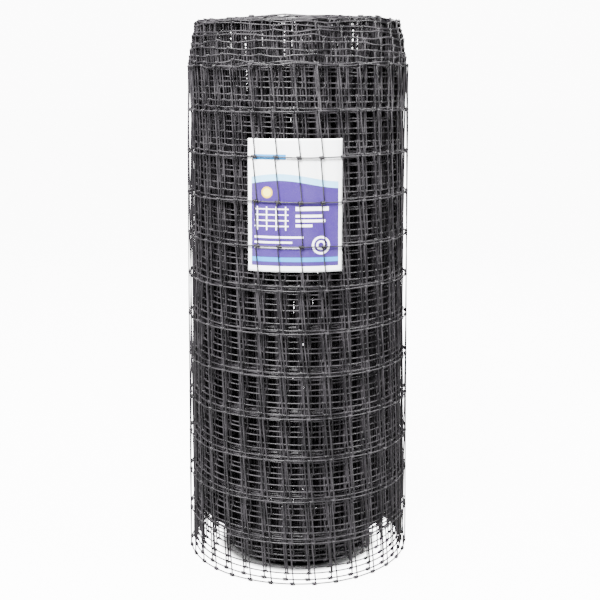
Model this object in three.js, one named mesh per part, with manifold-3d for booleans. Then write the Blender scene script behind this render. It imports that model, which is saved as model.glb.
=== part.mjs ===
// A roll of woven horse fence, stood on end, with a printed card tucked under its outermost turn.
// The roll is one turned solid with its bore. Its turns show as rings on both ends: the outer
// turns have slipped down past each other, so they form steps up to a crest. Inside the crest the
// turns come down again to near the floor, and they are drawn a few to a ring.
// Units are millimetres, +Z is up, and the origin is on the roll's axis at the floor.
import * as THREE from 'three';
import { mergeVertices } from 'three/addons/utils/BufferGeometryUtils.js';
import Module from 'manifold-3d';

const wasm = await Module();
wasm.setup();

// The woven fence
const fenceHeight = 1219.2; // edge line wire to edge line wire
const lineWireSpacing = 101.6;
const staySpacing = 50.8;
const wireDiameter = 3; // with its coating
const knotDiameter = 9;
const knotLength = 13.5;

// The roll
const footRadius = 283.4; // outside of the knots, at the floor
const rimRadius = 272; // outside of the knots, at the outer turn's top edge
const turnCount = 48;
const turnPitch = 2.6;
const looseGap = 6.8; // spare room behind the outermost turn, where the card sits
const rimGap = 0.5; // the same at the outer turn's top edge
const slippedTurns = 7.5; // turns that stand higher than the one outside them
const slipPerTurn = 13.7;
const crestTurns = 20; // turns that stand level at the crest
const dropPerTurn = 14; // of the turns inside the crest
const innerRise = 14; // of the innermost turns, above the outermost one
const turnsPerRing = 3; // turns drawn as one ring, from the crest inwards
const grooveDepth = 3; // between those rings
const roundSegments = 36;

// The printed card and its pocket
const labelWidth = 216; // along the arc
const labelHeight = 298;
const labelThickness = 0.8;
const labelBottom = 757.8;
const labelShift = -5.4; // along the arc, from the front of the roll
const seatGap = 0.4; // between the card and what touches it
const pocketMargin = 1.5; // round the card's four edges

// The wires that cross the card
const crossingStays = 4;
const stayStretch = 1.065; // the outer turn's stays stand this much wider here
const firstStayInset = 11.5; // from the card's left edge, at the card's middle height
const stayLean = 0.04; // sideways for each millimetre of height, towards the right at the foot
const wireSides = 6;
const wireEmbed = 4; // how far each crossing wire runs into the roll
const arcSegments = 12;

// Worked out from the sizes above
const meshHeight = fenceHeight + knotDiameter; // over the knots of both edges
const wallThickness = looseGap + turnCount * turnPitch + (knotDiameter - turnPitch);
const wireDepth = knotDiameter / 2;
const labelFaceDepth = knotDiameter + seatGap;
const labelBackDepth = labelFaceDepth + labelThickness;
const labelMiddle = labelBottom + labelHeight / 2;
const pocketWidth = labelWidth + 2 * pocketMargin;
const pocketHeight = labelHeight + 2 * pocketMargin;

// Radius of the roll's outside at a height, on its slight cone
function outsideRadius(height) {
  return footRadius + ((rimRadius - footRadius) * height) / fenceHeight;
}

const arcRadius = outsideRadius(labelMiddle) - labelFaceDepth;

// Makes a closed manifold solid from a three.js geometry
function toSolid(geometry) {
  const bare = geometry.clone();
  bare.deleteAttribute('normal');
  bare.deleteAttribute('uv');
  const merged = mergeVertices(bare.toNonIndexed(), 1e-4);
  const vertProperties = new Float32Array(merged.attributes.position.array);
  const triVerts = new Uint32Array(merged.index.array);
  return new wasm.Manifold(new wasm.Mesh({ numProp: 3, vertProperties, triVerts }));
}

// Makes a three.js geometry from a manifold solid
function toGeometry(solid) {
  const mesh = solid.getMesh();
  const geometry = new THREE.BufferGeometry();
  geometry.setAttribute('position', new THREE.BufferAttribute(mesh.vertProperties, 3));
  geometry.setIndex(new THREE.BufferAttribute(mesh.triVerts, 1));
  geometry.computeVertexNormals();
  return geometry;
}

// Bends a flat geometry round the roll: x runs along the arc, y is the depth under the roll's
// outside, and z is the height. The front of the roll faces -Y.
function wrapRoundRoll(geometry) {
  const position = geometry.attributes.position;
  for (let i = 0; i < position.count; i += 1) {
    const angle = position.getX(i) / arcRadius;
    const height = position.getZ(i);
    const radius = outsideRadius(height) - position.getY(i);
    position.setXYZ(i, radius * Math.sin(angle), -radius * Math.cos(angle), height);
  }
  return geometry;
}

// A flat slab, wrapped round the roll, between two depths
function wrappedSlab(width, height, outerDepth, innerDepth) {
  const thickness = innerDepth - outerDepth;
  const slab = new THREE.BoxGeometry(width, thickness, height, arcSegments, 1, 1);
  slab.translate(labelShift, (outerDepth + innerDepth) / 2, labelMiddle);
  return wrapRoundRoll(slab);
}

// How much higher the turn with this number stands than the outermost one, which is number 0
function riseOfTurn(turn) {
  const risen = slipPerTurn * Math.min(turn, slippedTurns);
  const dropped = dropPerTurn * Math.max(turn - slippedTurns - crestTurns, 0);
  return Math.min(risen, Math.max(risen - dropped, innerRise));
}

// Radius of the face between a turn and the one outside it
function turnBoundary(turn, height, gap) {
  if (turn === 0) {
    return outsideRadius(height);
  }
  const depth = turn >= turnCount ? wallThickness : gap + turn * turnPitch;
  return outsideRadius(height) - depth;
}

// One end of the roll's section, from the outside to the bore: a step for each slipped turn, then
// grooved rings of a few turns each. A groove of positive depth is cut downwards, for the
// top end, and one of negative depth upwards, for the foot. The gap is the one behind the
// outermost turn at this end.
function endProfile(baseHeight, groove, gap) {
  const points = [];
  let turn = 0;
  while (turn < turnCount) {
    const height = baseHeight + riseOfTurn(turn);
    const isStep = turn <= slippedTurns;
    const nextTurn = turn + (isStep ? 1 : turnsPerRing);
    const outer = turnBoundary(turn, height, gap);
    const inner = turnBoundary(nextTurn, height, gap);
    points.push(new THREE.Vector2(isStep ? outer : (outer + inner) / 2, height));
    points.push(new THREE.Vector2(inner, isStep ? height : height - groove));
    turn = nextTurn;
  }
  return points;
}

// The roll as a turned solid: up the outside, in over the top end, down the bore, out underneath
function turnedRoll() {
  const topEnd = endProfile(meshHeight, grooveDepth, rimGap);
  const foot = endProfile(0, -grooveDepth, looseGap).reverse();
  const profile = [...foot, ...topEnd];
  profile.push(profile[0].clone());
  const turned = new THREE.LatheGeometry(profile, roundSegments);
  turned.rotateX(Math.PI / 2);
  return turned;
}

// Where a crossing stay's middle stands along the arc
function stayPosition(number) {
  return labelShift - labelWidth / 2 + firstStayInset + number * staySpacing * stayStretch;
}

// A stay that runs up across the pocket
function crossingStay(number) {
  const length = pocketHeight + 2 * wireEmbed;
  const radius = wireDiameter / 2;
  const stay = new THREE.CylinderGeometry(radius, radius, length, wireSides, 1);
  stay.rotateX(Math.PI / 2);
  stay.rotateY(-Math.atan(stayLean));
  stay.translate(stayPosition(number), wireDepth, labelMiddle);
  return wrapRoundRoll(stay);
}

// A line wire that runs round across the pocket
function crossingLineWire(height) {
  const length = pocketWidth + 2 * wireEmbed;
  const radius = wireDiameter / 2;
  const line = new THREE.CylinderGeometry(radius, radius, length, wireSides, arcSegments);
  line.rotateZ(Math.PI / 2);
  line.translate(labelShift, wireDepth, height);
  return wrapRoundRoll(line);
}

// The knot where a stay is wrapped round a line wire
function crossingKnot(number, height) {
  const radius = knotDiameter / 2;
  const knot = new THREE.CylinderGeometry(radius, radius, knotLength, wireSides, 1);
  knot.rotateZ(Math.PI / 2);
  const lean = (labelMiddle - height) * stayLean;
  knot.translate(stayPosition(number) + lean, wireDepth, height);
  return wrapRoundRoll(knot);
}

// Heights of the line wires that cross the card
function crossingHeights() {
  const heights = [];
  for (let height = knotDiameter / 2; height < meshHeight; height += lineWireSpacing) {
    if (height > labelBottom && height < labelBottom + labelHeight) {
      heights.push(height);
    }
  }
  return heights;
}

// The roll, with the card's pocket cut into it and the outermost turn's wires left across it
function rollWithPocket() {
  const pocket = wrappedSlab(pocketWidth, pocketHeight, -wireEmbed, labelBackDepth + seatGap);
  let roll = toSolid(turnedRoll()).subtract(toSolid(pocket));
  for (let number = 0; number < crossingStays; number += 1) {
    roll = roll.add(toSolid(crossingStay(number)));
  }
  for (const height of crossingHeights()) {
    roll = roll.add(toSolid(crossingLineWire(height)));
    for (let number = 0; number < crossingStays; number += 1) {
      roll = roll.add(toSolid(crossingKnot(number, height)));
    }
  }
  return toGeometry(roll);
}

const blackWire = new THREE.MeshStandardMaterial({
  color: new THREE.Color(0.06, 0.057, 0.062),
  roughness: 0.45,
  metalness: 0.3,
});
const printedCard = new THREE.MeshStandardMaterial({
  color: new THREE.Color(0.25, 0.16, 0.6),
  roughness: 0.5,
  metalness: 0,
});

const meshRoll = new THREE.Mesh(rollWithPocket(), blackWire);
meshRoll.name = 'mesh_roll';

const labelGeometry = wrappedSlab(labelWidth, labelHeight, labelFaceDepth, labelBackDepth);
const labelCard = new THREE.Mesh(labelGeometry, printedCard);
labelCard.name = 'label_card';

const fenceRoll = new THREE.Group();
fenceRoll.add(meshRoll, labelCard);

export default fenceRoll;
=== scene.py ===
"""A roll of black woven horse fence, stood on end, with a printed card under its outermost turn.

The fence is woven flat and then rolled up by one Geometry Nodes tree, a few turns at a time.
Positions in the flat fence are x along it, y out of it and z up it.
"""
import math
from typing import NamedTuple
import bmesh
import bpy
from bpy.props import FloatProperty, FloatVectorProperty, IntProperty, PointerProperty
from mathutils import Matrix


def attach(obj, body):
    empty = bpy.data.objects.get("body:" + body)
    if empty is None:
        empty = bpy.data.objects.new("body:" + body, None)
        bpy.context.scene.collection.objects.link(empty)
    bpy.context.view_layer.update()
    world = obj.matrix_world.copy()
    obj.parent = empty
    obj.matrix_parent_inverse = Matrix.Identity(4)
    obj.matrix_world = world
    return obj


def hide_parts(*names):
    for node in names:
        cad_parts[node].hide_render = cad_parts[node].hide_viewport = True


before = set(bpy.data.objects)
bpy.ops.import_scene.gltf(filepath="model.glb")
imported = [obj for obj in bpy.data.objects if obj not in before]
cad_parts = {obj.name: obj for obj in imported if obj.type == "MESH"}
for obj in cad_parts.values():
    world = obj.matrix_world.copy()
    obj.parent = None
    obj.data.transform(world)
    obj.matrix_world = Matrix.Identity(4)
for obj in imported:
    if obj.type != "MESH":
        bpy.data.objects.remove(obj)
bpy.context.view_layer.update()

bl_info = {
    "name": "Horse fence roll",
    "version": (1, 0, 0),
    "blender": (4, 5, 0),
    "location": "View3D > Sidebar > Fence roll",
    "description": "Weaves and rolls up a horse fence, and stands it in a pale studio",
    "category": "Add Mesh",
}


class FenceSizes(bpy.types.PropertyGroup):
    """Sizes of the woven fence and of its roll"""

    fence_height: FloatProperty(
        name="Fence height",
        description="From the lowest line wire to the highest",
        default=1.2192,
        unit="LENGTH",
    )
    line_spacing: FloatProperty(
        name="Line wire spacing",
        description="From one line wire to the next",
        default=0.1016,
        unit="LENGTH",
    )
    stay_spacing: FloatProperty(
        name="Stay spacing",
        description="From one stay to the next along the fence",
        default=0.0508,
        unit="LENGTH",
    )
    wire_radius: FloatProperty(
        name="Wire radius",
        description="Radius of the line wires and stays, with their coating",
        default=0.0015,
        unit="LENGTH",
    )
    knot_length: FloatProperty(
        name="Knot length",
        description="Length of a knot along its line wire",
        default=0.0135,
        unit="LENGTH",
    )
    foot_radius: FloatProperty(
        name="Foot radius",
        description="Outside of the knots at the floor",
        default=0.2834,
        unit="LENGTH",
    )
    rim_radius: FloatProperty(
        name="Rim radius",
        description="Outside of the knots at the outer turn's top edge",
        default=0.272,
        unit="LENGTH",
    )
    knot_radius: FloatProperty(
        name="Knot radius",
        description="Radius of a wrapped knot",
        default=0.0045,
        unit="LENGTH",
    )
    turn_pitch: FloatProperty(
        name="Turn pitch",
        description="How far each turn lies inside the one before",
        default=0.0026,
        unit="LENGTH",
    )
    loose_gap: FloatProperty(
        name="Loose gap",
        description="Spare room behind the outermost turn, where the card sits",
        default=0.0068,
        unit="LENGTH",
    )
    rim_closing: FloatProperty(
        name="Rim closing",
        description="How far the turns come out towards the rim, as a share of the loose gap",
        default=1.3,
    )
    slip_per_turn: FloatProperty(
        name="Slip per turn",
        description="How much higher each turn stands than the one outside it",
        default=0.0142,
        unit="LENGTH",
    )
    slipped_turns: FloatProperty(
        name="Slipped turns",
        description="How many turns stand higher than the one outside them",
        default=7.25,
    )
    crest_turns: FloatProperty(
        name="Crest turns",
        description="How many turns stand level at the crest",
        default=20.0,
    )
    drop_per_turn: FloatProperty(
        name="Drop per turn",
        description="How much lower each turn inside the crest stands than the one outside it",
        default=0.014,
        unit="LENGTH",
    )
    inner_rise: FloatProperty(
        name="Inner rise",
        description="How much higher the innermost turns stand than the outermost one",
        default=0.014,
        unit="LENGTH",
    )
    lift: FloatProperty(
        name="Lift",
        description="How far the lowest line wire is above the floor, on its knots",
        default=0.0055,
        unit="LENGTH",
    )
    lean: FloatProperty(
        name="Stay lean",
        description="How far the front stays' feet stand to the right of their tops",
        default=0.045,
        unit="LENGTH",
    )
    front_stay: IntProperty(
        name="Front stay",
        description="Number of the stay that stands at the front of the outermost turn",
        default=16,
    )
    front_offset: FloatProperty(
        name="Front offset",
        description="How far that stay stands to the right of the roll's front, half way up",
        default=0.017,
        unit="LENGTH",
    )
    unevenness: FloatProperty(
        name="Unevenness",
        description="How far the wires stray from a perfect grid",
        default=0.003,
        unit="LENGTH",
    )


class WireLook(bpy.types.PropertyGroup):
    """Colours of the coated wire"""

    coating: FloatVectorProperty(
        name="Coating",
        description="Colour of the black coating",
        default=(0.006, 0.0054, 0.0064),
        subtype="COLOR",
    )
    dusty: FloatVectorProperty(
        name="Dusty coating",
        description="Colour of the coating where it has dulled",
        default=(0.019, 0.017, 0.0195),
        subtype="COLOR",
    )


class CardSizes(bpy.types.PropertyGroup):
    """Size, place and colours of the printed card"""

    width: FloatProperty(
        name="Width",
        description="Along the roll's curve",
        default=0.2205,
        unit="LENGTH",
    )
    height: FloatProperty(
        name="Height",
        description="Up the roll",
        default=0.303,
        unit="LENGTH",
    )
    bottom: FloatProperty(
        name="Bottom edge",
        description="Height of the card's lower edge above the floor",
        default=0.7595,
        unit="LENGTH",
    )
    shift: FloatProperty(
        name="Shift",
        description="From the front of the roll to the card's middle",
        default=-0.0062,
        unit="LENGTH",
    )
    depth: FloatProperty(
        name="Depth",
        description="How far the card lies under the outside of the knots",
        default=0.0088,
        unit="LENGTH",
    )
    paper: FloatVectorProperty(
        name="Paper",
        description="Colour of the bare card",
        default=(0.82, 0.83, 0.84),
        subtype="COLOR",
    )
    field: FloatVectorProperty(
        name="Field",
        description="Colour of the large printed field",
        default=(0.026, 0.008, 0.115),
        subtype="COLOR",
    )
    band: FloatVectorProperty(
        name="Band",
        description="Colour of the pale band",
        default=(0.22, 0.5, 0.72),
        subtype="COLOR",
    )
    bar: FloatVectorProperty(
        name="Bar",
        description="Colour of the bright bar",
        default=(0.008, 0.19, 0.48),
        subtype="COLOR",
    )
    disc: FloatVectorProperty(
        name="Disc",
        description="Colour of the small disc",
        default=(0.55, 0.36, 0.005),
        subtype="COLOR",
    )


def sizes():
    return bpy.context.scene.fence_sizes


class NodeBench:
    """Puts nodes into a tree and joins them, so that a tree reads as a list of steps."""

    def __init__(self, tree):
        self.tree = tree

    def node(self, kind, links=(), **settings):
        made = self.tree.nodes.new(kind)
        for key, value in settings.items():
            setattr(made, key, value)
        for name, value in dict(links).items():
            self.feed(made.inputs[name], value)
        return made

    def feed(self, socket, value):
        if isinstance(value, bpy.types.NodeSocket):
            self.tree.links.new(value, socket)
        else:
            socket.default_value = value

    def math(self, operation, *values):
        made = self.tree.nodes.new("ShaderNodeMath")
        made.operation = operation
        for i, value in enumerate(values):
            self.feed(made.inputs[i], value)
        return made.outputs[0]

    def add(self, first, *others):
        for other in others:
            first = self.math("ADD", first, other)
        return first

    def times(self, first, *others):
        for other in others:
            first = self.math("MULTIPLY", first, other)
        return first

    def less(self, value, taken):
        return self.math("SUBTRACT", value, taken)

    def over(self, value, divisor):
        return self.math("DIVIDE", value, divisor)

    def clamp(self, value, low, high):
        return self.node("ShaderNodeClamp", {"Value": value, "Min": low, "Max": high}).outputs[0]

    def ramp(self, value, start, end, low=0.0, high=1.0):
        made = self.node(
            "ShaderNodeMapRange",
            {"Value": value, "From Min": start, "From Max": end, "To Min": low, "To Max": high},
            interpolation_type="SMOOTHSTEP",
        )
        return made.outputs[0]

    def vector(self, x, y, z):
        return self.node("ShaderNodeCombineXYZ", {"X": x, "Y": y, "Z": z}).outputs[0]

    def wander(self, value, scale, detail):
        """Smooth noise along one number, centred on zero."""
        noise = self.node(
            "ShaderNodeTexNoise",
            {"W": value, "Scale": scale, "Detail": detail},
            noise_dimensions="1D",
        )
        return self.less(noise.outputs[0], 0.5)

    def mix(self, share, first, second):
        """A colour between two colours, each given as a socket or as three numbers."""
        made = self.node("ShaderNodeMix", {"Factor": share}, data_type="RGBA")
        for name, colour in (("A", first), ("B", second)):
            if not isinstance(colour, bpy.types.NodeSocket):
                colour = (*colour, 1.0)
            self.feed(made.inputs[name], colour)
        return made.outputs["Result"]

    def circle(self, sides, radius):
        return self.node(
            "GeometryNodeCurvePrimitiveCircle", {"Resolution": sides, "Radius": radius}
        ).outputs[0]

    def row(self, count, offset, start=(0.0, 0.0, 0.0)):
        return self.node(
            "GeometryNodeMeshLine", {"Count": count, "Start Location": start, "Offset": offset}
        ).outputs[0]

    def path(self, mesh):
        return self.node("GeometryNodeMeshToCurve", {"Mesh": mesh}).outputs[0]

    def sweep(self, path, section):
        return self.node(
            "GeometryNodeCurveToMesh",
            {"Curve": path, "Profile Curve": section, "Fill Caps": True},
        ).outputs[0]

    def place_on(self, points, piece):
        return self.node(
            "GeometryNodeInstanceOnPoints", {"Points": points, "Instance": piece}
        ).outputs[0]


# the tree's inputs that are sizes of the fence, under the same names
SHARED_SIZES = (
    "Stay Spacing",
    "Line Spacing",
    "Wire Radius",
    "Knot Radius",
    "Knot Length",
    "Foot Radius",
    "Rim Radius",
    "Turn Pitch",
    "Loose Gap",
    "Rim Closing",
    "Slip Per Turn",
    "Slipped Turns",
    "Crest Turns",
    "Drop Per Turn",
    "Inner Rise",
    "Lift",
    "Lean",
    "Unevenness",
)

ROLL_INPUTS = (
    ("First Stay", "NodeSocketInt"),
    ("Stay Count", "NodeSocketInt"),
    ("Line Wires", "NodeSocketInt"),
    ("Steps Per Stay", "NodeSocketInt"),
    ("Steps Per Bay", "NodeSocketInt"),
    ("Wire Sides", "NodeSocketInt"),
    ("Knot Wraps", "NodeSocketFloat"),
    ("Knot Steps", "NodeSocketInt"),
    ("Knot Sides", "NodeSocketInt"),
    *((name, "NodeSocketFloat") for name in SHARED_SIZES),
    ("Seam Angle", "NodeSocketFloat"),
    ("Wire", "NodeSocketMaterial"),
)

# a wire's section grows by this, divided by its number of sides squared
FEW_SIDES_GROWTH = 3.8

# the flat weave, as shares of the size that each one names
JOG_OF_KNOT_LENGTH = 0.2
JOG_OF_STEP = 0.2
STAY_OUT_OF_WIRE_RADIUS = 1.2
WRAP_OF_WIRE_RADIUS = 0.96


def wire_section(bench, given):
    """The wire's section: one with few sides is a little larger, to look as wide as a round one."""
    sides = given["Wire Sides"]
    growth = bench.over(FEW_SIDES_GROWTH, bench.math("POWER", sides, 2.0))
    return bench.circle(sides, bench.times(given["Wire Radius"], bench.add(1.0, growth)))


def stay_points(bench, given):
    """One point for each stay of the stretch, along the foot of the flat fence."""
    spacing = given["Stay Spacing"]
    start = bench.times(given["First Stay"], spacing)
    return bench.row(
        given["Stay Count"], bench.vector(spacing, 0.0, 0.0), bench.vector(start, 0.0, 0.0)
    )


def line_points(bench, given):
    """One point for each line wire, up the flat fence."""
    return bench.row(given["Line Wires"], bench.vector(0.0, 0.0, given["Line Spacing"]))


def flat_stays(bench, given):
    """The stays, each one wire that jogs sideways at every knot."""
    steps = given["Steps Per Bay"]
    bays = bench.less(given["Line Wires"], 1)
    step = bench.over(given["Line Spacing"], steps)
    upright = bench.row(bench.add(bench.times(bays, steps), 1), bench.vector(0.0, 0.0, step))
    # just above a knot the stay leaves its left wraps, and just below one it meets its right ones
    in_bay = bench.math("MODULO", bench.node("GeometryNodeInputIndex").outputs[0], steps)
    has_jogs = bench.math("GREATER_THAN", steps, 2.5)
    above = bench.times(bench.math("COMPARE", in_bay, 1.0, 0.1), has_jogs)
    below = bench.times(bench.math("COMPARE", in_bay, bench.less(steps, 1), 0.1), has_jogs)
    side = bench.less(below, above)
    jog = bench.times(side, bench.times(given["Knot Length"], JOG_OF_KNOT_LENGTH))
    # the two outer points of a bay are drawn in close to the knots
    rise = bench.times(side, bench.less(step, bench.times(step, JOG_OF_STEP)))
    out = bench.times(given["Wire Radius"], STAY_OUT_OF_WIRE_RADIUS)
    bent = bench.node(
        "GeometryNodeSetPosition",
        {"Geometry": upright, "Offset": bench.vector(jog, out, rise)},
    ).outputs[0]
    stay = bench.sweep(bench.path(bent), wire_section(bench, given))
    return bench.place_on(stay_points(bench, given), stay)


def flat_line_wires(bench, given):
    """The line wires, which run half a stay's spacing past the end stays."""
    steps = given["Steps Per Stay"]
    spacing = given["Stay Spacing"]
    start = bench.times(bench.less(given["First Stay"], 0.5), spacing)
    line = bench.row(
        bench.add(bench.times(given["Stay Count"], steps), 1),
        bench.vector(bench.over(spacing, steps), 0.0, 0.0),
        bench.vector(start, 0.0, 0.0),
    )
    wire = bench.sweep(bench.path(line), wire_section(bench, given))
    return bench.place_on(line_points(bench, given), wire)


def flat_knots(bench, given):
    """A small coil of wire wrapped round the line wire wherever a stay crosses it."""
    wrap_radius = bench.times(given["Wire Radius"], WRAP_OF_WIRE_RADIUS)
    coil_radius = bench.less(given["Knot Radius"], wrap_radius)
    length = bench.less(given["Knot Length"], bench.times(wrap_radius, 2))
    coil = bench.node(
        "GeometryNodeCurveSpiral",
        {
            "Resolution": given["Knot Steps"],
            "Rotations": given["Knot Wraps"],
            "Start Radius": coil_radius,
            "End Radius": coil_radius,
            "Height": length,
        },
    ).outputs[0]
    # where it can hardly be seen, a knot is one short bar
    bar = bench.node(
        "GeometryNodeCurvePrimitiveLine", {"End": bench.vector(0.0, 0.0, length)}
    ).outputs[0]
    knot = bench.node(
        "GeometryNodeSwitch",
        {
            "Switch": bench.math("GREATER_THAN", given["Knot Wraps"], 0.5),
            "False": bench.sweep(bar, bench.circle(given["Knot Sides"], given["Knot Radius"])),
            "True": bench.sweep(coil, bench.circle(given["Knot Sides"], wrap_radius)),
        },
        input_type="GEOMETRY",
    ).outputs[0]
    laid = bench.node(
        "GeometryNodeTransform",
        {
            "Geometry": knot,
            "Rotation": (0.0, math.pi / 2, 0.0),
            "Translation": bench.vector(bench.times(length, -0.5), 0.0, 0.0),
        },
    ).outputs[0]
    column = bench.place_on(line_points(bench, given), laid)
    return bench.place_on(stay_points(bench, given), column)


def start_radius():
    """Radius of the wires' middle at the outer end, were that turn not loose."""
    fence = sizes()
    mean = (fence.foot_radius + fence.rim_radius) / 2
    return mean - fence.knot_radius - fence.loose_gap + fence.turn_pitch / 2


def turns_to(stay):
    """How many turns in from the outer end a stay stands."""
    fence = sizes()
    start = start_radius()
    used = fence.turn_pitch * stay * fence.stay_spacing / math.pi
    return (start - math.sqrt(start * start - used)) / fence.turn_pitch


def nearest_stay(turns):
    """The number of the stay that stands nearest to this many turns in."""
    stay = sizes().front_stay
    while turns_to(stay) < turns:
        stay += 1
    if turns - turns_to(stay - 1) < turns_to(stay) - turns:
        stay -= 1
    return stay


# how far each turn's stays stand from those of the outermost turn, in stay spacings
NESTED_STAYS = (0.0, 0.13, -0.12, 0.22, 0.06, -0.2, 0.14, -0.07, 0.26, -0.24, 0.1, 0.3, -0.3)
NESTING_LIMIT = 0.02  # in turns


def nesting(bench, turned):
    """The small shift, in turns, that lets the stays of the outer turns nest in bunches."""
    reach = float(len(NESTED_STAYS))
    curve = bench.node("ShaderNodeFloatCurve", {"Value": bench.over(turned, reach)})
    line = curve.mapping.curves[0]
    front = turns_to(sizes().front_stay)
    places = []
    for turn, offset in enumerate(NESTED_STAYS):
        target = front + turn
        stay = nearest_stay(target)
        stays_per_turn = 1.0 / (turns_to(stay + 1) - turns_to(stay))
        shift = target + offset / stays_per_turn - turns_to(stay)
        places.append((turns_to(stay) / reach, 0.5 + shift / NESTING_LIMIT / 2))
    line.points[0].location = (0.0, 0.5)
    line.points[1].location = (1.0, places[-1][1])
    for place in places:
        if place[0] < 0.999:
            line.points.new(*place)
    for point in line.points:
        point.handle_type = "VECTOR"
    curve.mapping.update()
    return bench.times(bench.less(curve.outputs[0], 0.5), NESTING_LIMIT * 2)


def strayed_place(bench, given):
    """A point's place in the flat fence, once its wire has strayed from a perfect grid."""
    flat = bench.node("GeometryNodeInputPosition").outputs[0]
    place = bench.node("ShaderNodeSeparateXYZ", {"Vector": flat}).outputs
    stray = bench.node(
        "ShaderNodeTexNoise", {"Vector": flat, "Scale": 4.5, "Detail": 1.0, "Roughness": 0.5}
    ).outputs["Color"]
    push = bench.node("ShaderNodeSeparateXYZ", {"Vector": stray}).outputs
    knocks = bench.node(
        "ShaderNodeTexNoise", {"Vector": flat, "Scale": 15.0, "Detail": 1.0}
    ).outputs[0]
    # the rim is the most uneven part, and the foot stands flat on the floor
    near_rim = bench.ramp(place["Z"], 1.08, 1.2)
    off_floor = bench.ramp(place["Z"], 0.0, 0.15, 0.6, 3.0)

    def strayed(axis, share):
        amount = bench.times(given["Unevenness"], share)
        return bench.add(place[axis], bench.times(bench.less(push[axis], 0.5), amount))

    along = strayed("X", 2.6)
    out = strayed("Y", bench.add(0.6, bench.times(near_rim, 2.0)))
    knocked = bench.times(bench.less(knocks, 0.5), near_rim, bench.times(given["Unevenness"], 7.0))
    up = bench.add(strayed("Z", off_floor), knocked)
    return along, out, up


def height_in_roll(bench, given, turned, up):
    """The outer turns have slipped up past each other, and inside the crest they come down."""
    slipping = bench.less(turned, 1.0)
    risen = bench.times(
        bench.clamp(slipping, 0.0, given["Slipped Turns"]), given["Slip Per Turn"]
    )
    crest_end = bench.add(given["Slipped Turns"], given["Crest Turns"])
    past_crest = bench.math("MAXIMUM", bench.less(slipping, crest_end), 0.0)
    dropped = bench.times(past_crest, given["Drop Per Turn"])
    settled = bench.math("MAXIMUM", bench.less(risen, dropped), given["Inner Rise"])
    slipped = bench.math("MINIMUM", risen, settled)
    # the inner turns stand a little unevenly
    inner = bench.ramp(turned, 1.0, 8.0, 0.1, 1.0)
    uneven = bench.times(bench.wander(turned, 1.7, 1.0), inner, 0.024)
    return bench.add(bench.add(up, given["Lift"]), bench.add(slipped, uneven))


def radius_in_roll(bench, given, turned, inside, out, share):
    """The outermost turn is loose, and towards the rim the others come out to meet it."""
    free = bench.ramp(turned, 0.72, 1.2, 1.0, 0.0)
    closing = bench.ramp(share, 0.36, 0.6, 0.0, given["Rim Closing"])
    spread = bench.add(free, bench.times(bench.less(1.0, free), closing))
    loose = bench.times(given["Loose Gap"], spread)
    flare = bench.times(share, bench.less(given["Foot Radius"], given["Rim Radius"]))
    return bench.less(bench.add(inside, loose, out), flare)


def angle_in_roll(bench, given, turned, start, share):
    """Every turn's stays lean about as the outermost one's do, each in its own measure."""
    own = bench.add(bench.times(bench.wander(turned, 1.3, 0.0), 2.0), 0.55)
    first = bench.ramp(turned, 0.9, 1.6, 1.0, 0.0)
    measure = bench.add(first, bench.times(bench.less(1.0, first), own))
    leaned = bench.over(bench.times(given["Lean"], measure, share), start)
    nested = bench.add(turned, nesting(bench, turned))
    return bench.add(bench.times(nested, 2 * math.pi), leaned, given["Seam Angle"])


def rolled_position(bench, given):
    """Where a point of the flat fence ends up in the roll."""
    along, out, up = strayed_place(bench, given)
    pitch = given["Turn Pitch"]
    mean = bench.times(bench.add(given["Foot Radius"], given["Rim Radius"]), 0.5)
    start = bench.less(
        bench.less(mean, given["Knot Radius"]),
        bench.less(given["Loose Gap"], bench.times(pitch, 0.5)),
    )
    used = bench.over(bench.times(pitch, along), math.pi)
    inside = bench.math("SQRT", bench.less(bench.times(start, start), used))
    turned = bench.over(bench.less(start, inside), pitch)
    height = height_in_roll(bench, given, turned, up)
    fence_height = bench.times(bench.less(given["Line Wires"], 1), given["Line Spacing"])
    # from -0.5 at the foot to 0.5 at the outer turn's rim
    share = bench.less(bench.over(height, fence_height), 0.5)
    radius = radius_in_roll(bench, given, turned, inside, out, share)
    angle = angle_in_roll(bench, given, turned, start, share)
    return bench.vector(
        bench.times(radius, bench.math("SINE", angle)),
        bench.times(radius, bench.math("COSINE", angle)),
        height,
    )


def add_socket(tree, name, kind, default=None):
    socket = tree.interface.new_socket(name=name, in_out="INPUT", socket_type=kind)
    if default is not None:
        socket.default_value = default


def fence_roll_tree():
    """The tree that weaves a stretch of the fence flat, rolls it up and gives it its wire."""
    tree = bpy.data.node_groups.new("Weave and roll up a fence", "GeometryNodeTree")
    tree.interface.new_socket(name="Geometry", in_out="OUTPUT", socket_type="NodeSocketGeometry")
    for name, kind in ROLL_INPUTS:
        add_socket(tree, name, kind)
    bench = NodeBench(tree)
    given = bench.node("NodeGroupInput").outputs
    flat = bench.node("GeometryNodeJoinGeometry")
    for part in (flat_stays, flat_line_wires, flat_knots):
        tree.links.new(part(bench, given), flat.inputs[0])
    real = bench.node("GeometryNodeRealizeInstances", {"Geometry": flat.outputs[0]}).outputs[0]
    rolled = bench.node(
        "GeometryNodeSetPosition",
        {"Geometry": real, "Position": rolled_position(bench, given)},
    ).outputs[0]
    smooth = bench.node("GeometryNodeSetShadeSmooth", {"Geometry": rolled}).outputs[0]
    coated = bench.node(
        "GeometryNodeSetMaterial", {"Geometry": smooth, "Material": given["Wire"]}
    ).outputs[0]
    end = bench.node("NodeGroupOutput")
    tree.links.new(coated, end.inputs[0])
    return tree


def input_identifier(tree, name):
    for item in tree.interface.items_tree:
        if item.item_type == "SOCKET" and item.in_out == "INPUT" and item.name == name:
            return item.identifier
    raise KeyError(name)


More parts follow.
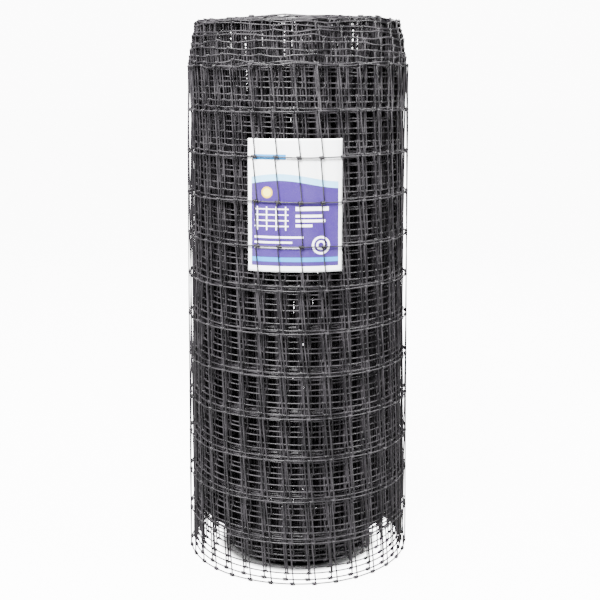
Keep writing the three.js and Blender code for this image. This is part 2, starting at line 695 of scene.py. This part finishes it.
class Stretch(NamedTuple):
    """A stretch of the fence, and how finely its wires and knots are drawn"""

    name: str
    first_stay: int
    stay_count: int
    steps_per_stay: int
    steps_per_bay: int
    wire_sides: int
    knot_wraps: float
    knot_steps: int
    knot_sides: int


# the less a stretch shows, the plainer it is
STRETCHES = (
    Stretch("fence_outer_turn", 0, 33, 4, 4, 6, 3.7, 7, 5),
    Stretch("fence_second_turn", 33, 33, 4, 4, 5, 3.5, 7, 4),
    Stretch("fence_third_to_fifth_turns", 66, 95, 2, 4, 5, 3.0, 5, 3),
    Stretch("fence_sixth_to_tenth_turns", 161, 152, 2, 4, 4, 2.0, 4, 3),
    Stretch("fence_middle_turns", 313, 380, 1, 1, 3, 0.0, 1, 3),
    Stretch("fence_inner_turns", 693, 492, 1, 1, 3, 0.0, 1, 3),
    Stretch("fence_bore_turn", 1185, 15, 4, 4, 5, 3.0, 6, 4),
)


def woven_stretch(tree, stretch, material):
    """One stretch of the fence as a plain mesh, already rolled up."""
    fence = sizes()
    turn_of_front = turns_to(fence.front_stay)
    values = {
        "First Stay": stretch.first_stay,
        "Stay Count": stretch.stay_count,
        "Line Wires": round(fence.fence_height / fence.line_spacing) + 1,
        "Steps Per Stay": stretch.steps_per_stay,
        "Steps Per Bay": stretch.steps_per_bay,
        "Wire Sides": stretch.wire_sides,
        "Knot Wraps": stretch.knot_wraps,
        "Knot Steps": stretch.knot_steps,
        "Knot Sides": stretch.knot_sides,
        "Seam Angle": math.pi
        - 2 * math.pi * turn_of_front
        - fence.front_offset / start_radius(),
        "Wire": material,
    }
    for name in SHARED_SIZES:
        values[name] = getattr(fence, name.lower().replace(" ", "_"))
    host = bpy.data.objects.new(stretch.name + "_nodes", bpy.data.meshes.new(stretch.name + "_nodes"))
    bpy.context.scene.collection.objects.link(host)
    modifier = host.modifiers.new("Weave", "NODES")
    modifier.node_group = tree
    for name, value in values.items():
        modifier[input_identifier(tree, name)] = value
    depsgraph = bpy.context.evaluated_depsgraph_get()
    mesh = bpy.data.meshes.new_from_object(host.evaluated_get(depsgraph), depsgraph=depsgraph)
    mesh.name = stretch.name
    piece = bpy.data.objects.new(stretch.name, mesh)
    bpy.context.scene.collection.objects.link(piece)
    bpy.data.objects.remove(host, do_unlink=True)
    if not len(mesh.polygons):
        raise RuntimeError(stretch.name + " came out empty")
    return piece


def new_material(name):
    material = bpy.data.materials.new(name)
    material.use_nodes = True
    material.node_tree.nodes.clear()
    return material


def finish_material(bench, surface):
    end = bench.node("ShaderNodeOutputMaterial")
    bench.tree.links.new(surface.outputs[0], end.inputs[0])


def mottle_group():
    """Soft patches and fine specks, as masks from 0 to 1."""
    tree = bpy.data.node_groups.new("Mottle", "ShaderNodeTree")
    tree.interface.new_socket(name="Patches", in_out="OUTPUT", socket_type="NodeSocketFloat")
    tree.interface.new_socket(name="Specks", in_out="OUTPUT", socket_type="NodeSocketFloat")
    add_socket(tree, "Position", "NodeSocketVector")
    add_socket(tree, "Patch Scale", "NodeSocketFloat", 12.0)
    add_socket(tree, "Speck Scale", "NodeSocketFloat", 600.0)
    bench = NodeBench(tree)
    given = bench.node("NodeGroupInput").outputs
    patch = bench.node(
        "ShaderNodeTexNoise",
        {"Vector": given["Position"], "Scale": given["Patch Scale"], "Detail": 4.0},
    ).outputs[0]
    speck = bench.node(
        "ShaderNodeTexNoise",
        {"Vector": given["Position"], "Scale": given["Speck Scale"], "Detail": 2.0},
    ).outputs[0]
    end = bench.node("NodeGroupOutput")
    tree.links.new(bench.ramp(patch, 0.35, 0.68), end.inputs["Patches"])
    tree.links.new(bench.ramp(speck, 0.45, 0.75), end.inputs["Specks"])
    return tree


def mottle(bench, patch_scale, speck_scale):
    """The mottle's masks over a piece, on its object coordinates."""
    group = bpy.data.node_groups.get("Mottle") or mottle_group()
    place = bench.node("ShaderNodeTexCoord").outputs["Object"]
    return bench.node(
        "ShaderNodeGroup",
        {"Position": place, "Patch Scale": patch_scale, "Speck Scale": speck_scale},
        node_tree=group,
    ).outputs


def bumped(bench, height, strength, distance):
    return bench.node(
        "ShaderNodeBump", {"Strength": strength, "Distance": distance, "Height": height}
    ).outputs[0]


def wire_material():
    """Black coated steel wire: satin, a little dull and dusty in patches."""
    look = bpy.context.scene.wire_look
    material = new_material("Black coated wire")
    bench = NodeBench(material.node_tree)
    masks = mottle(bench, 26.0, 900.0)
    surface = bench.node(
        "ShaderNodeBsdfPrincipled",
        {
            "Base Color": bench.mix(masks["Patches"], look.coating, look.dusty),
            "Roughness": bench.ramp(masks["Patches"], 0.0, 1.0, 0.34, 0.5),
            "Metallic": 0.0,
            "Specular IOR Level": 0.3,
            "Normal": bumped(bench, masks["Specks"], 0.25, 0.0002),
        },
    )
    finish_material(bench, surface)
    return material


class FENCE_OT_roll(bpy.types.Operator):
    """Weaves the fence flat and rolls it up, a stretch at a time, in place of the plain roll"""

    bl_idname = "fence.roll"
    bl_label = "Woven fence, rolled up"

    def execute(self, context):
        tree = fence_roll_tree()
        material = wire_material()
        for stretch in STRETCHES:
            piece = woven_stretch(tree, stretch, material)
            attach(piece, "root")
            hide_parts("mesh_roll")
        return {"FINISHED"}


class CardPrint(NodeBench):
    """Masks for plain printed shapes, in millimetres from the card's lower left corner."""

    def __init__(self, tree, width, height):
        super().__init__(tree)
        uv = self.node("ShaderNodeUVMap", uv_map="UVMap").outputs[0]
        axes = self.node("ShaderNodeSeparateXYZ", {"Vector": uv}).outputs
        self.wide = self.times(axes["X"], width)
        self.high = self.times(axes["Y"], height)

    def edge(self, distance):
        return self.ramp(distance, -0.25, 0.25)

    def within(self, value, low, top):
        return self.times(self.edge(self.less(value, low)), self.edge(self.less(top, value)))

    def box(self, left, right, low, top):
        return self.times(self.within(self.wide, left, right), self.within(self.high, low, top))

    def disc(self, x, y, radius):
        dx = self.less(self.wide, x)
        dy = self.less(self.high, y)
        far = self.math("SQRT", self.add(self.times(dx, dx), self.times(dy, dy)))
        return self.edge(self.less(radius, far))

    def ring(self, x, y, outer, inner):
        return self.math(
            "MINIMUM", self.disc(x, y, outer), self.less(1.0, self.disc(x, y, inner))
        )

    def either(self, *masks):
        total = masks[0]
        for mask in masks[1:]:
            total = self.math("MAXIMUM", total, mask)
        return total


# the print's layout, in millimetres
PANEL_MARGIN = 9.0
PANEL_FOOT = 14.0
SWELL_MIDDLE = 200.0
SWELL_HEIGHT = 9.0
SWELL_PER_MM = 0.021
BAND_HEIGHT = 15.0
DRAWN_BAR = 2.6
POST_PLACES = (22.0, 44.0, 66.0, 88.0)
RAIL_HEIGHTS = (104.0, 117.0, 130.0, 143.0)
LINE_HEIGHT = 4.5
PALE_PRINT = (0.80, 0.80, 0.84)
PALE_DISC = (0.72, 0.62, 0.12)
WORN_PRINT = (0.5, 0.5, 0.5)


def pale_shapes(bench):
    """A small fence drawn in plain bars, plain rows beside it, plain lines and two rings."""
    posts = (bench.box(x, x + DRAWN_BAR, 96.0, 150.0) for x in POST_PLACES)
    rails = (bench.box(16.0, 96.0, y, y + DRAWN_BAR) for y in RAIL_HEIGHTS)
    rows = (
        bench.box(112.0, 188.0, 141.0, 150.0),
        bench.box(112.0, 172.0, 126.0, 132.0),
        bench.box(112.0, 180.0, 115.0, 121.0),
        bench.box(112.0, 150.0, 104.0, 110.0),
    )
    line_ends = ((130.0, 78.0), (104.0, 66.0), (122.0, 54.0))
    lines = (bench.box(16.0, x, y, y + LINE_HEIGHT) for x, y in line_ends)
    rings = (bench.ring(170.0, 62.0, 21.0, 16.0), bench.ring(170.0, 62.0, 11.0, 6.5))
    return bench.either(*posts, *rails, *rows, *lines, *rings)


def printed_colour(bench, card, width):
    """The card's colours: bare paper, a pale band over a large field, and plain shapes."""
    right = width - PANEL_MARGIN
    panel = bench.within(bench.wide, PANEL_MARGIN, right)
    swell = bench.times(bench.math("SINE", bench.times(bench.wide, SWELL_PER_MM)), SWELL_HEIGHT)
    under_swell = bench.less(bench.add(swell, SWELL_MIDDLE), bench.high)
    above_foot = bench.edge(bench.less(bench.high, PANEL_FOOT))
    field = bench.times(panel, bench.edge(under_swell), above_foot)
    band = bench.times(panel, bench.edge(bench.add(under_swell, BAND_HEIGHT)), above_foot)
    colour = bench.mix(band, card.paper, card.band)
    colour = bench.mix(field, colour, card.field)
    colour = bench.mix(pale_shapes(bench), colour, PALE_PRINT)
    colour = bench.mix(bench.disc(46.0, 182.0, 13.0), colour, card.disc)
    colour = bench.mix(bench.disc(46.0, 182.0, 9.5), colour, PALE_DISC)
    colour = bench.mix(bench.box(PANEL_MARGIN, right, 24.0, 34.0), colour, card.bar)
    return bench.mix(bench.box(14.0, 90.0, 256.0, 268.0), colour, card.bar)


def card_material():
    """The printed card: its print is laid out on its own UV map, and is very slightly worn."""
    card = bpy.context.scene.card_sizes
    material = new_material("Printed card")
    width = card.width * 1000
    bench = CardPrint(material.node_tree, width, card.height * 1000)
    masks = mottle(bench, 18.0, 1400.0)
    worn = bench.ramp(masks["Specks"], 0.0, 1.0, 0.0, 0.07)
    surface = bench.node(
        "ShaderNodeBsdfPrincipled",
        {
            "Base Color": bench.mix(worn, printed_colour(bench, card, width), WORN_PRINT),
            "Roughness": bench.ramp(masks["Patches"], 0.0, 1.0, 0.34, 0.46),
            "Normal": bumped(bench, masks["Patches"], 0.08, 0.0004),
        },
    )
    finish_material(bench, surface)
    return material


def outside_radius(height):
    """Radius of the roll over its knots, at a height on its slight cone."""
    fence = sizes()
    return fence.foot_radius + (fence.rim_radius - fence.foot_radius) * (
        height / fence.fence_height
    )


CARD_COLUMNS = 44
CARD_ROWS = 60
CARD_THICKNESS = 0.0003
CARD_SEAT = 0.00025  # the waves swing about a surface this much further in


def card_point(across, upward, depth):
    """A point of the card, from its shares of the width and height and its depth."""
    card = bpy.context.scene.card_sizes
    height = card.bottom + upward * card.height
    arc_radius = outside_radius(card.bottom + card.height / 2) - card.depth
    angle = (card.shift + (across - 0.5) * card.width) / arc_radius
    wave = 0.00022 * math.sin(across * 11.0 + upward * 2.0) + 0.00018 * math.sin(upward * 17.0)
    radius = outside_radius(height) - depth - CARD_SEAT + wave
    return radius * math.sin(angle), -radius * math.cos(angle), height


def card_side(build, depth):
    """A grid of points for one side of the card, in rows from the bottom."""
    return [
        [
            build.verts.new(card_point(column / CARD_COLUMNS, row / CARD_ROWS, depth))
            for column in range(CARD_COLUMNS + 1)
        ]
        for row in range(CARD_ROWS + 1)
    ]


def card_mesh():
    """Both sides of the card and its edge, with a UV map over its width and height."""
    card = bpy.context.scene.card_sizes
    build = bmesh.new()
    layer = build.loops.layers.uv.new("UVMap")
    front = card_side(build, card.depth)
    back = card_side(build, card.depth + CARD_THICKNESS)

    def face(corners, places):
        made = build.faces.new(corners)
        made.smooth = True
        for loop, (column, row) in zip(made.loops, places):
            loop[layer].uv = (column / CARD_COLUMNS, row / CARD_ROWS)

    for j in range(CARD_ROWS):
        for i in range(CARD_COLUMNS):
            places = [(i, j), (i + 1, j), (i + 1, j + 1), (i, j + 1)]
            face([front[b][a] for a, b in places], places)
            places.reverse()
            face([back[b][a] for a, b in places], places)
    rim = [(i, 0) for i in range(CARD_COLUMNS)]
    rim += [(CARD_COLUMNS, j) for j in range(CARD_ROWS)]
    rim += [(i, CARD_ROWS) for i in range(CARD_COLUMNS, 0, -1)]
    rim += [(0, j) for j in range(CARD_ROWS, 0, -1)]
    for (a, b), (c, d) in zip(rim, rim[1:] + rim[:1]):
        places = [(a, b), (a, b), (c, d), (c, d)]
        face([front[b][a], back[b][a], back[d][c], front[d][c]], places)
    bmesh.ops.recalc_face_normals(build, faces=build.faces)
    mesh = bpy.data.meshes.new("printed_card")
    build.to_mesh(mesh)
    build.free()
    return mesh


class FENCE_OT_card(bpy.types.Operator):
    """Lays the printed card under the outermost turn, slightly waved, in place of the plain one"""

    bl_idname = "fence.card"
    bl_label = "Printed card"

    def execute(self, context):
        mesh = card_mesh()
        mesh.materials.append(card_material())
        piece = bpy.data.objects.new("printed_card", mesh)
        context.scene.collection.objects.link(piece)
        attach(piece, "root")
        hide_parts("label_card")
        return {"FINISHED"}


# name, place, point aimed at, size in metres and power in watts
LAMPS = (
    ("front_lamp", (-0.7, -2.2, 3.2), (0.0, 0.0, 1.1), 1.4, 960.0),
    ("left_lamp", (-3.0, -1.0, 2.4), (0.0, 0.0, 0.8), 1.4, 420.0),
    ("right_lamp", (3.0, -1.0, 2.4), (0.0, 0.0, 0.8), 1.4, 420.0),
    ("back_lamp", (0.4, 3.2, 2.8), (0.0, 0.0, 0.8), 1.6, 300.0),
)
FLOOR_RADIUS = 40.0
WHITE_GLOW = 11.0  # light of the ground and the backdrop that only the camera sees
STUDIO_LIGHT = 0.3
CAMERA_PLACE = (0.0, -2.7050, 1.1991)
CAMERA_DOWN = 9.6711  # degrees
CAMERA_LENS = 65.18
CAMERA_SHIFT = (0.00403, -0.06333)


def soft_lamp(name, place, aim, size, power):
    lamp = bpy.data.lights.new(name, "AREA")
    lamp.shape = "SQUARE"
    lamp.size = size
    lamp.energy = power
    holder = bpy.data.objects.new(name, lamp)
    bpy.context.scene.collection.objects.link(holder)
    holder.location = place
    x, y, z = [there - here for here, there in zip(place, aim)]
    holder.rotation_euler = (math.atan2(math.hypot(x, y), -z), 0.0, -math.atan2(x, y))


def pale_floor():
    """A wide floor: painted shade, a dark disc of colour standing in for the roll's shadow, under the
    bore and the inner turns, and white to the camera outside.
    """
    build = bmesh.new()
    bmesh.ops.create_circle(build, cap_ends=True, radius=FLOOR_RADIUS, segments=96)
    mesh = bpy.data.meshes.new("studio_floor")
    build.to_mesh(mesh)
    build.free()
    floor = bpy.data.objects.new("studio_floor", mesh)
    bpy.context.scene.collection.objects.link(floor)
    material = new_material("Pale floor with painted shade")
    bench = NodeBench(material.node_tree)
    place = bench.node("ShaderNodeTexCoord").outputs["Object"]
    far = bench.node("ShaderNodeVectorMath", {0: place}, operation="LENGTH").outputs["Value"]
    seen = bench.node("ShaderNodeLightPath").outputs["Is Camera Ray"]
    surface = bench.node(
        "ShaderNodeBsdfPrincipled",
        {
            # painted shade: the base colour is very dark inside the roll's footprint, in place of the
            # shadow the roll casts there
            "Base Color": bench.mix(bench.ramp(far, 0.15, 0.2), (0.03,) * 3, (0.3,) * 3),
            "Roughness": 0.9,
            "Specular IOR Level": 0.0,
            "Emission Color": (1.0, 1.0, 1.0, 1.0),
            # the camera-only glow stops at the same footprint, so the painted shade inside stays dark
            "Emission Strength": bench.times(bench.ramp(far, 0.185, 0.215, 0.0, WHITE_GLOW), seen),
        },
    )
    finish_material(bench, surface)
    mesh.materials.append(material)


def pale_world():
    world = bpy.data.worlds.new("Pale studio")
    world.use_nodes = True
    bench = NodeBench(world.node_tree)
    backdrop = world.node_tree.nodes["Background"]
    seen = bench.node("ShaderNodeLightPath").outputs["Is Camera Ray"]
    bench.feed(backdrop.inputs["Color"], (1.0, 1.0, 1.0, 1.0))
    bench.feed(
        backdrop.inputs["Strength"], bench.add(bench.times(seen, WHITE_GLOW), STUDIO_LIGHT)
    )
    bpy.context.scene.world = world


def photo_camera():
    """The camera at the photograph's viewing place."""
    data = bpy.data.cameras.new("photo_camera")
    data.sensor_width = 36.0
    data.lens = CAMERA_LENS
    data.shift_x, data.shift_y = CAMERA_SHIFT
    camera = bpy.data.objects.new("photo_camera", data)
    bpy.context.scene.collection.objects.link(camera)
    camera.location = CAMERA_PLACE
    camera.rotation_euler = (math.radians(90.0 - CAMERA_DOWN), 0.0, 0.0)
    bpy.context.scene.camera = camera


class FENCE_OT_stage(bpy.types.Operator):
    """Adds the pale floor and backdrop, the soft lamps and the camera"""

    bl_idname = "fence.stage"
    bl_label = "Studio stage"

    def execute(self, context):
        pale_floor()
        pale_world()
        for lamp in LAMPS:
            soft_lamp(*lamp)
        photo_camera()
        return {"FINISHED"}


class FENCE_PT_panel(bpy.types.Panel):
    """Lists the roll's sizes and the steps that make it"""

    bl_idname = "FENCE_PT_panel"
    bl_label = "Fence roll"
    bl_space_type = "VIEW_3D"
    bl_region_type = "UI"
    bl_category = "Fence roll"

    def draw(self, context):
        scene = context.scene
        for group in (scene.fence_sizes, scene.wire_look, scene.card_sizes):
            box = self.layout.box()
            for name in group.__annotations__:
                box.prop(group, name)
        for operator in (FENCE_OT_roll, FENCE_OT_card, FENCE_OT_stage):
            self.layout.operator(operator.bl_idname)


CLASSES = (
    FenceSizes,
    WireLook,
    CardSizes,
    FENCE_OT_roll,
    FENCE_OT_card,
    FENCE_OT_stage,
    FENCE_PT_panel,
)


def register():
    for cls in CLASSES:
        bpy.utils.register_class(cls)
    bpy.types.Scene.fence_sizes = PointerProperty(type=FenceSizes)
    bpy.types.Scene.wire_look = PointerProperty(type=WireLook)
    bpy.types.Scene.card_sizes = PointerProperty(type=CardSizes)


def unregister():
    del bpy.types.Scene.card_sizes
    del bpy.types.Scene.wire_look
    del bpy.types.Scene.fence_sizes
    for cls in reversed(CLASSES):
        bpy.utils.unregister_class(cls)


def main():
    register()
    bpy.ops.fence.roll()
    bpy.ops.fence.card()
    bpy.ops.fence.stage()


if __name__ == "__main__":
    main()
